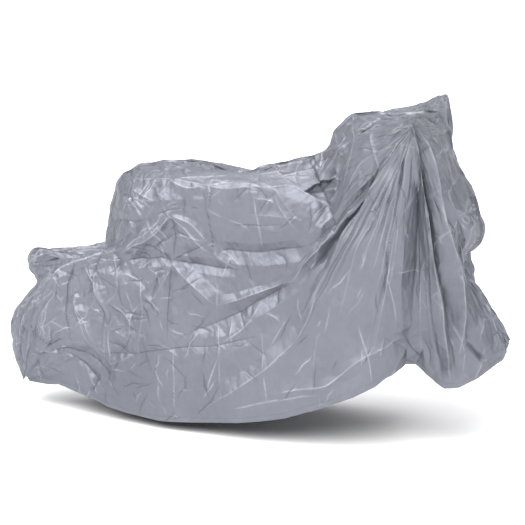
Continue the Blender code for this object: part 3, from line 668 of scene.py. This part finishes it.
def lay_run(panel, run, view):
    """A fold's run, smoothed and laid on the film."""
    corners = np.array(run)
    reached = reached_along(corners)
    count = max(FEWEST_POINTS, int(reached[-1] / CHORD) + 1)
    points = smooth_through(reached, corners, np.linspace(0.0, reached[-1], count))
    return read_at(panel.smooth, places_seen(panel, points, view))


def laid_folds(panel, rows, view, sides=(1.0, 1.0)):
    """The folds of a table, with their runs laid on the film."""
    folds = [Fold(*row) for row in rows]
    return [fold._replace(run=lay_run(panel, np.array(fold.run) * sides, view)) for fold in folds]


# ---------------------------------------------------------------- folds
def press_fold(panel, fold, relief, shift, creases):
    """Adds a fold that is laid on the film to the panel's relief, and its crest to the crease marks: pale
    along a crest, painted shade along a valley.
    """
    starts = fold.run[:-1]
    spans = np.diff(fold.run, axis=0)
    lengths = np.linalg.norm(spans, axis=1)
    reached = reached_along(fold.run)
    cells = panel.smooth[::CELL, ::CELL]
    reach = max(fold.left, fold.right) + CELL_REACH
    close = np.linalg.norm(cells[..., None, :] - fold.run, axis=-1).min(axis=-1) < reach
    window = np.repeat(np.repeat(close, CELL, axis=0), CELL, axis=1)
    window = window[:relief.shape[0], :relief.shape[1]]
    offsets = panel.smooth[window][:, None] - starts
    shares = np.clip((offsets * spans).sum(axis=-1) / lengths ** 2, 0.0, 1.0)
    offsets -= shares[..., None] * spans
    away = np.linalg.norm(offsets, axis=-1)
    nearest = away.argmin(axis=1)
    each = np.arange(len(nearest))
    distance = away[each, nearest]
    share = (reached[nearest] + shares[each, nearest] * lengths[nearest]) / reached[-1]
    leftward = unit(np.cross(panel.normals[window], spans[nearest]))
    width = np.where((offsets[each, nearest] * leftward).sum(axis=-1) > 0.0, fold.left, fold.right)
    width = width * (fold.start + (1.0 - fold.start) * np.clip(share / WIDENS_OVER, 0.0, 1.0))
    ends = np.clip(np.minimum(share / fold.up, (1.0 - share) / fold.down), 0.0, 1.0)
    crest = CREST_RADIUS + CREST_SHARE * width
    flank = np.clip(1.0 - (np.hypot(distance, crest) - crest) / width, 0.0, 1.0)
    crease = np.sign(fold.rise) * fold.sharp
    pinch = PINCH_HEIGHT * np.clip(1.0 - distance / PINCH_WIDTH, 0.0, 1.0)
    rise = fold.rise * (LOW_SHARE if abs(fold.rise) < LOW_RISE else 1.0)
    relief[window] += ends * (rise * flank + crease * pinch)
    if fold.lean:
        shift[window] += (ends * fold.lean * flank)[:, None] * leftward
    # a positive mark is a pale crest; a negative one, along a valley, is painted shade
    mark = crease * ends * np.exp(-(distance / MARK_WIDTH) ** 2)
    marked = creases[window]
    creases[window] = np.where(np.abs(mark) > np.abs(marked), mark, marked)


def is_laid(fold):
    """Whether a fold's run kept its length when it was laid, and isn't pressed against the film's edge."""
    return np.linalg.norm(np.diff(fold.run, axis=0), axis=1).min() > SHORTEST_SPAN


def chance_fold(run, widths, rises, ends, chance):
    """A crease along a run, its two widths and its height or depth left to chance."""
    left, right = chance.uniform(*widths, 2)
    rise = chance.uniform(*rises) * chance.choice((-1.0, 1.0))
    return Fold(run, left, right, rise, *ends)


def short_run(panel, index, turn, start, length, chance):
    """A slightly bent run on the film, turned from the way to the tip, or from the way down at the seam."""
    point = panel.smooth[index]
    normal = panel.normals[index]
    if start:
        towards = np.array([TIP[0], point[1], TIP[1]]) - point
    else:
        towards = panel.by_step[index]
    towards = unit(towards - normal * (towards @ normal))
    heading = math.cos(turn) * towards + math.sin(turn) * np.cross(normal, towards)
    to_places = np.linalg.pinv(np.stack([panel.by_section[index], panel.by_step[index]], axis=1))
    reach = (start + np.linspace(0.0, 1.0, SMALL_POINTS))[:, None] * length
    bend = (chance.normal(0.0, SMALL_BEND, SMALL_POINTS) * length)[:, None]
    run = index + (reach * heading + bend * np.cross(normal, heading)) @ to_places.T
    return read_at(panel.smooth, run.clip(0.0, panel.last))


def liveliness(panel):
    """How much the film is crumpled at each place, from 1 down to CALM_SHARE where it is drawn smooth."""
    seen = panel.smooth[..., (0, 2)]
    flank = np.clip((seen - CALM_FLANK) * (1.0, -1.0) / CALM_BLEND, 0.0, 1.0).prod(axis=-1)
    centre, reach = CALM_DIP
    dip = np.clip((reach - np.linalg.norm(seen - centre, axis=-1)) / CALM_BLEND, 0.0, 1.0)
    return 1.0 - (1.0 - CALM_SHARE) * np.maximum(flank, dip)


def small_creases(panel, chance):
    """The many short creases between the folds: they fan from the tip in front and lie anyhow at the rear."""
    area = cell_areas(panel)
    along = panel.smooth[..., 0]
    weight = (area * liveliness(panel)).ravel()
    creases = []
    for index in chance.choice(area.size, SMALL_CREASES, p=weight / weight.sum()):
        index = np.unravel_index(index, area.shape)
        turn = chance.normal(0.0, FAN_SPREAD if along[index] > FAN_FROM else LOOSE_SPREAD)
        length = chance.uniform(*SMALL_LENGTH)
        run = short_run(panel, index, turn, HALF_BACK, length, chance)
        crease = chance_fold(run, SMALL_WIDTH, SMALL_RISE, SMALL_ENDS, chance)
        creases.append(crease._replace(rise=crease.rise * length / SMALL_LENGTH[1]))
    return creases


def fan_rays(panel, chance):
    """Long thin creases that run straight from the tip."""
    rays = []
    for _ in range(RAYS):
        angle = chance.uniform(*RAY_ANGLES)
        reach = chance.uniform(*RAY_START) + np.linspace(0.0, chance.uniform(*RAY_LENGTH), RAY_POINTS)
        run = lay_run(panel, TIP + reach[:, None] * (math.sin(angle), -math.cos(angle)), FROM_THE_SIDE)
        rays.append(chance_fold(run, RAY_WIDTH, RAY_RISE, RAY_ENDS, chance))
    return rays


def seam_puckers(panel, chance):
    """Short wrinkles that run down from the seam, where the film is drawn together in the weld."""
    steps = np.linalg.norm(panel.by_section[:, 0], axis=-1)
    puckers = []
    for section in chance.choice(len(steps), PUCKERS, p=steps / steps.sum()):
        length = chance.uniform(*PUCKER_LENGTH)
        turn = chance.normal(0.0, PUCKER_TURN)
        run = short_run(panel, (section, 1), turn, 0.0, length, chance)
        puckers.append(chance_fold(run, PUCKER_WIDTH, PUCKER_RISE, PUCKER_ENDS, chance))
    return puckers


def scattered_net(spacing, chance):
    """Sites scattered over a panel, as shares of its length and depth, and the triangles between them."""
    counts = np.array([round(FILM_LENGTH / spacing), round(FILM_DEPTH / spacing)])
    across, down = np.meshgrid(np.arange(-1, counts[0] + 2), np.arange(-1, counts[1] + 2), indexing="ij")
    sites = np.stack([across.ravel(), down.ravel()], axis=1)
    sites = sites + chance.uniform(-SCATTER, SCATTER, sites.shape)
    corners, _, triangles, *_ = delaunay_2d_cdt([Vector(site) for site in sites], [], [], 0, TINY_AREA)
    return np.array([tuple(corner) for corner in corners]) / counts, triangles


def spread_flat(values, places, triangles, shape):
    """The values at a net's sites, spread evenly across each of its triangles, on a grid of that shape."""
    spread = np.zeros(shape + values.shape[1:])
    last = np.array(shape) - 1.0
    for triangle in triangles:
        corners = places[list(triangle)]
        frame = (corners[1:] - corners[0]).T
        low = np.maximum(np.ceil(corners.min(axis=0)), 0.0).astype(int)
        high = np.minimum(np.floor(corners.max(axis=0)), last).astype(int) + 1
        if (high <= low).any():
            continue
        inside = np.mgrid[low[0]:high[0], low[1]:high[1]].reshape(2, -1)
        shares = np.linalg.solve(frame, inside - corners[0][:, None])
        within = (shares.min(axis=0) >= 0.0) & (shares.sum(axis=0) <= 1.0)
        i, j = inside[:, within]
        here = values[list(triangle)]
        spread[i, j] = here[0] + shares[:, within].T @ (here[1:] - here[0])
    return spread


def net_creases(panel, places, points, triangles):
    """The sharpest edges between facets, as thin creases."""
    sides = {}
    for triangle in triangles:
        for k in range(3):
            edge = (triangle[k], triangle[(k + 1) % 3])
            sides.setdefault((min(edge), max(edge)), []).append(triangle[(k + 2) % 3])
    creases = []
    for (one, other), far in sides.items():
        ends = places[[one, other]]
        middle = ends.mean(axis=0)
        if len(far) < 2 or (middle < 0.0).any() or (middle > panel.last).any():
            continue
        normal = read_at(panel.normals, middle[None])[0]
        bend = (points[one] + points[other] - points[far[0]] - points[far[1]]) @ normal / 2.0
        if abs(bend) < NET_BEND:
            continue
        run = ends[0] + np.linspace(0.0, 1.0, NET_POINTS)[:, None] * (ends[1] - ends[0])
        crest = read_at(panel.smooth, np.clip(run, 0.0, panel.last))
        sharp = min(1.0, abs(bend) / NET_SHARP)
        rise = math.copysign(NET_RISE * sharp, bend)
        creases.append(Fold(crest, PINCH_WIDTH, PINCH_WIDTH, rise, *NET_ENDS, sharp=sharp))
    return creases


def facets(panel, chance):
    """How far flat facets lie from the smooth film, and the creases between the largest."""
    shape = panel.smooth.shape[:2]
    area = cell_areas(panel)
    room = np.clip(area / np.median(area) * ROOM, 0.0, 1.0) * liveliness(panel)
    shares, triangles = scattered_net(COARSE_NET[0], chance)
    places = shares * panel.last
    inside = places.clip(0.0, panel.last)
    rises = chance.uniform(-COARSE_NET[1], COARSE_NET[1], len(places)) * read_at(room, inside)
    points = read_at(panel.smooth, places) + read_at(panel.normals, inside) * rises[:, None]
    offset = FLATNESS * (spread_flat(points, places, triangles, shape) - panel.smooth)
    offset *= np.minimum(1.0, FURTHEST / np.linalg.norm(offset, axis=-1, keepdims=True).clip(TINY_AREA))
    from_tip = np.linalg.norm(panel.smooth[..., (0, 2)] - TIP, axis=-1, keepdims=True)
    offset *= np.clip(from_tip / TIP_REACH, 0.0, 1.0)
    creases = net_creases(panel, places, points, triangles)
    for spacing, height in FINE_NETS:
        shares, triangles = scattered_net(spacing, chance)
        rises = chance.uniform(-height, height, (len(shares), 1))
        offset += spread_flat(rises, shares * panel.last, triangles, shape) * room[..., None] * panel.normals
    return offset, creases


def press_hem(panel, relief, creases):
    """The hem, folded up on the inside: the film is thicker there and a faint groove runs above it, darkened
    with painted shade.
    """
    steps = np.linalg.norm(np.diff(panel.smooth, axis=1), axis=-1)
    to_hem = np.cumsum(steps[:, ::-1], axis=1)[:, ::-1]
    to_hem = np.concatenate([to_hem, np.zeros((len(to_hem), 1))], axis=1)
    line = np.exp(-((to_hem - HEM_WIDTH) / MARK_WIDTH) ** 2)
    relief += HEM_DEPTH * ((to_hem < HEM_WIDTH) - line)
    # painted shade along the groove above the hem
    creases -= HEM_PAINTED_SHADE * line


def creased_panel(panel, side, folds, chance):
    """The film of one side with all its folds, the pale marks along their crests and the painted shade along
    their valleys.
    """
    shift, edges = facets(panel, chance)
    relief = np.zeros(panel.smooth.shape[:2])
    creases = np.zeros(relief.shape)
    small = edges + small_creases(panel, chance) + fan_rays(panel, chance) + seam_puckers(panel, chance)
    for fold in folds + [fold for fold in small if is_laid(fold)]:
        press_fold(panel, fold, relief, shift, creases)
    press_hem(panel, relief, creases)
    free = np.clip(np.linspace(0.0, 1.0, relief.shape[1]) / SEAM_FADE, 0.0, 1.0)[:, None]
    film = panel.smooth + free * (panel.normals * relief[..., None] + shift)
    film[..., 1] += side * SEAM_GAP
    return film - HOLD_UP, creases


# ---------------------------------------------------------------- meshes
def grid_mesh(name, grid, flip):
    """A mesh over a grid of points, its faces turned outwards."""
    rows, columns = grid.shape[:2]
    corner = np.arange(rows * columns).reshape(rows, columns)
    around = (corner[:-1, :-1], corner[1:, :-1], corner[1:, 1:], corner[:-1, 1:])
    faces = np.stack(around, axis=-1).reshape(-1, 4)
    if flip:
        faces = faces[:, ::-1]
    mesh = bpy.data.meshes.new(name)
    mesh.from_pydata(grid.reshape(-1, 3).tolist(), [], faces.tolist())
    piece = bpy.data.objects.new(name, mesh)
    bpy.context.collection.objects.link(piece)
    return piece


def select_only(piece):
    bpy.ops.object.select_all(action="DESELECT")
    piece.select_set(True)
    bpy.context.view_layer.objects.active = piece


def shade_smooth(piece, angle):
    select_only(piece)
    bpy.ops.object.shade_smooth_by_angle(angle=angle)
    piece.select_set(False)


def add_film(name, film, creases, side):
    """One side panel: a single thin sheet, fine at its creases and coarser where it is flat."""
    piece = grid_mesh(name, film, flip=side == SIDE_LEFT)
    marks = piece.data.attributes.new("crease", "FLOAT", "POINT")
    marks.data.foreach_set("value", creases.ravel().astype(np.float32))
    thin = piece.modifiers.new("thin", "DECIMATE")
    thin.ratio = TRIANGLES / (2.0 * len(piece.data.polygons))
    select_only(piece)
    bpy.ops.object.modifier_apply(modifier=thin.name)
    shade_smooth(piece, CREASE_ANGLE)
    return piece


def add_seam(grid, normals):
    """The welded flange along the middle: a thin wavy strip on edge with a pressed line along its foot."""
    crown = grid[:, STEPS_TO_HEM] - HOLD_UP
    upwards = normals[:, STEPS_TO_HEM]
    reached = reached_along(crown)[:, None]
    lean = SEAM_WAVE * sum(np.sin(reached / length + start) * share for length, start, share in SEAM_LEANS)
    tall = 1.0
    for length, start, share in SEAM_DROPS:
        tall = tall - share * (1.0 + np.sin(reached / length + start))
    height = SEAM_HEIGHT * tall
    sideways = np.array([0.0, 1.0, 0.0])
    rows = []
    for face in (-1.0, 1.0):
        for share, swell in SEAM_PROFILE[::int(face)]:
            rise = share * height - (1.0 - share) * SEAM_DEPTH
            out = face * swell * SEAM_THICKNESS / 2.0 + lean * share ** SEAM_CURL
            rows.append(crown + upwards * rise + sideways * out)
    loop = np.stack(rows + rows[:1], axis=1)
    piece = grid_mesh("ridge_seam_weld", loop, flip=True)
    select_only(piece)
    bpy.ops.object.mode_set(mode="EDIT")
    bpy.ops.mesh.select_all(action="SELECT")
    bpy.ops.mesh.remove_doubles(threshold=SAME_POINT)
    bpy.ops.mesh.select_all(action="DESELECT")
    bpy.ops.mesh.select_non_manifold()
    bpy.ops.mesh.fill_holes(sides=0)
    bpy.ops.mesh.select_all(action="SELECT")
    bpy.ops.mesh.normals_make_consistent(inside=False)
    bpy.ops.object.mode_set(mode="OBJECT")
    shade_smooth(piece, CREASE_ANGLE)
    return piece


# ---------------------------------------------------------------- finishes
class Wire:
    """A value inside a material, on which Python's operators work with Math nodes."""

    def __init__(self, finish, socket):
        self.finish = finish
        self.socket = socket

    def math(self, operation, first, second=0.0):
        return self.finish.node("ShaderNodeMath", {"operation": operation}, {0: first, 1: second})

    def __add__(self, other):
        return self.math("ADD", self, other)

    __radd__ = __add__

    def __sub__(self, other):
        return self.math("SUBTRACT", self, other)

    def __rsub__(self, other):
        return self.math("SUBTRACT", other, self)

    def __mul__(self, other):
        return self.math("MULTIPLY", self, other)

    __rmul__ = __mul__

    def __neg__(self):
        return self.math("MULTIPLY", self, -1.0)

    def __pow__(self, other):
        return self.math("POWER", self, other)

    def __abs__(self):
        return self.math("ABSOLUTE", self)

    def above(self, other):
        return self.math("MAXIMUM", self, other)

    def clipped(self):
        return self.math("MINIMUM", self.above(0.0), 1.0)


class Finish:
    """A material, or a world, made of nodes around its one shader."""

    def __init__(self, owner, shader="Principled BSDF"):
        owner.use_nodes = True
        self.owner = owner
        self.tree = owner.node_tree
        self.surface = self.tree.nodes[shader]

    def join(self, value, socket):
        if isinstance(value, Wire):
            self.tree.links.new(value.socket, socket)
        else:
            socket.default_value = value

    def node(self, kind, settings=None, inputs=None, output=0):
        made = self.tree.nodes.new(kind)
        for key, value in (settings or {}).items():
            setattr(made, key, value)
        for key, value in (inputs or {}).items():
            self.join(value, made.inputs[key])
        return Wire(self, made.outputs[output])

    def noise(self, scale, detail):
        place = self.node("ShaderNodeTexCoord", output="Object")
        return self.node("ShaderNodeTexNoise", None, {"Vector": place, "Scale": scale, "Detail": detail})

    def joined(self, x, y, z):
        return self.node("ShaderNodeCombineXYZ", None, {"X": x, "Y": y, "Z": z})

    def net(self, place, spacing):
        """Distance in metres from the nearest edge of a net of many-sided cells."""
        edges = self.node("ShaderNodeTexVoronoi", {"feature": "DISTANCE_TO_EDGE"},
                          {"Vector": place, "Scale": 1.0 / spacing})
        return edges * spacing

    def mixed(self, share, first, second):
        return self.node("ShaderNodeMix", {"data_type": "RGBA"}, {0: share, 6: first, 7: second}, output=2)

    def bumped(self, height, distance):
        return self.node("ShaderNodeBump", None, {"Height": height, "Distance": distance})

    def surface_is(self, **inputs):
        for name, value in inputs.items():
            self.join(value, self.surface.inputs[name.replace("_", " ")])
        return self.owner


def crumple_places(film):
    """Places along the hanging folds at the rear, along the folds that fan from the tip, and their blend."""
    place = film.node("ShaderNodeTexCoord", output="Object")
    x, y, z = (film.node("ShaderNodeSeparateXYZ", None, {"Vector": place}, output=axis) for axis in range(3))
    ahead = x - TIP[0]
    below = (TIP[1] - HOLD_UP[2]) - z
    angle = film.node("ShaderNodeMath", {"operation": "ARCTAN2"}, {0: ahead, 1: below})
    radius = (ahead * ahead + below * below) ** 0.5
    hanging = film.joined(x + z * HANG_SLANT, y, z * HANG_STRETCH)
    fanned = film.joined(angle * FAN_REACH, y, radius * FAN_STRETCH)
    return hanging, fanned, ((x - FAN_BEGINS) * (1.0 / FAN_BLEND)).clipped()


def crumple(film):
    """Height of the finest facets in metres."""
    hanging, fanned, front = crumple_places(film)
    height = 0.0
    for spacing, slope in CRUMPLE_NETS:
        for place, share in ((hanging, 1.0 - front), (fanned, front)):
            height = film.net(place, spacing) * share * slope + height
    return height


def film_finish():
    """Silver-grey film: satin, cloudy in tone, paler where a crest is sharply creased, with painted shade
    along its sharp valleys.
    """
    film = Finish(bpy.data.materials.new("silver_film"))
    crease = film.node("ShaderNodeAttribute", {"attribute_name": "crease"}, output="Fac")
    mottling = film.noise(*MOTTLING) - 0.5
    tone = 0.5 + (film.noise(*CLOUDS) - 0.5) * CLOUD_SHARE + mottling * MOTTLING_SHARE
    colour = film.mixed(tone, FILM_DEEP, FILM_PALE)
    worn = (film.noise(*WEAR) * WEAR_CONTRAST - WEAR_FROM).clipped()
    colour = film.mixed(crease.above(0.0) * worn * CREST_SHOWS, colour, CREASE_PALE)
    # painted shade darkens the valleys of sharp creases and the groove above the hem
    colour = film.mixed((-crease).above(0.0) * VALLEY_SHADE_SHOWS, colour, PAINTED_VALLEY_SHADE)
    roughness = FILM_ROUGHNESS + mottling * ROUGHNESS_SPREAD + abs(crease) * CREASE_ROUGHNESS
    return film.surface_is(Base_Color=colour, Roughness=roughness, Metallic=FILM_METALLIC,
                           Normal=film.bumped(crumple(film), CRUMPLE_DISTANCE))


def weld_finish():
    """Two layers of the film pressed together: a little darker and smoother."""
    weld = Finish(bpy.data.materials.new("welded_film"))
    mottling = weld.noise(*WELD_MOTTLING)
    colour = weld.mixed(mottling, WELD_DEEP, WELD_PALE)
    roughness = WELD_ROUGHNESS + mottling * WELD_SPREAD
    return weld.surface_is(Base_Color=colour, Roughness=roughness, Metallic=WELD_METALLIC,
                           Normal=weld.bumped(mottling, WELD_GRAIN))


# ---------------------------------------------------------------- the cover
grid = draped_surface()
bend_crown(grid, np.random.default_rng(SEEDS["crown"]))
normals = outward(grid)
film_material = film_finish()
weld_material = weld_finish()

seam = add_seam(grid, normals)
seam.data.materials.append(weld_material)
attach(seam, "root")
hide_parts("ridge_seam")

for name, side, folds, top_folds, carried in (
        ("right_panel", SIDE_RIGHT, RIGHT_FOLDS, RIGHT_TOP_FOLDS, [seam]),
        ("left_panel", SIDE_LEFT, LEFT_FOLDS, LEFT_TOP_FOLDS, [])):
    chance = np.random.default_rng(SEEDS[name])
    panel = panel_of(grid, normals, side)
    laid = laid_folds(panel, folds, FROM_THE_SIDE) + laid_folds(panel, top_folds, FROM_ABOVE, (1.0, side))
    film, creases = creased_panel(panel, side, laid, chance)
    piece = add_film(name + "_film", film, creases, side)
    piece.data.materials.append(film_material)
    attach(piece, "root")
    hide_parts(name)


# ---------------------------------------------------------------- floor, light and camera
def add_floor():
    bpy.ops.mesh.primitive_plane_add(size=FLOOR_SIZE, location=(0.0, 0.0, -HOLD_UP[2]))
    floor = bpy.context.object
    floor.name = "floor"
    paper = Finish(bpy.data.materials.new("pale_floor"))
    floor.data.materials.append(paper.surface_is(Base_Color=FLOOR_COLOUR, Roughness=FLOOR_ROUGHNESS))


def add_soft_light(name, towards, spread, strength):
    """Even light from one direction, as soft as a sky of that spread in degrees."""
    light = bpy.data.lights.new(name, "SUN")
    light.angle = math.radians(spread)
    light.energy = strength
    source = bpy.data.objects.new(name, light)
    source.rotation_euler = Vector(towards).to_track_quat("Z", "Y").to_euler()
    bpy.context.collection.objects.link(source)


def soft_room():
    """Light from all around, brighter from above, and a pale backdrop past the end of the floor."""
    room = Finish(bpy.data.worlds.new("studio"), "Background")
    place = room.node("ShaderNodeTexCoord", output="Generated")
    facing = room.node("ShaderNodeVectorMath", {"operation": "DOT_PRODUCT"},
                       {0: place, 1: WORLD_TOWARDS}, output="Value")
    light = room.mixed(facing.clipped(), WORLD_LOW, WORLD_HIGH)
    seen = room.node("ShaderNodeLightPath", output="Is Camera Ray")
    return room.surface_is(Color=room.mixed(seen, light, BACKDROP))


def add_camera():
    azimuth = math.radians(CAMERA_AZIMUTH)
    elevation = math.radians(CAMERA_ELEVATION)
    backwards = Vector((math.sin(azimuth) * math.cos(elevation), -math.cos(azimuth) * math.cos(elevation),
                        math.sin(elevation)))
    data = bpy.data.cameras.new("camera")
    data.lens = CAMERA_LENS
    data.sensor_width = CAMERA_SENSOR
    data.clip_end = FLOOR_SIZE
    camera = bpy.data.objects.new("camera", data)
    camera.location = Vector(CAMERA_TARGET) + CAMERA_DISTANCE * backwards
    camera.rotation_euler = backwards.to_track_quat("Z", "Y").to_euler()
    bpy.context.collection.objects.link(camera)
    bpy.context.scene.camera = camera


add_floor()
for light in LIGHTS:
    add_soft_light(*light)
add_camera()

bpy.context.scene.world = soft_room()
bpy.context.scene.view_settings.view_transform = "Standard"
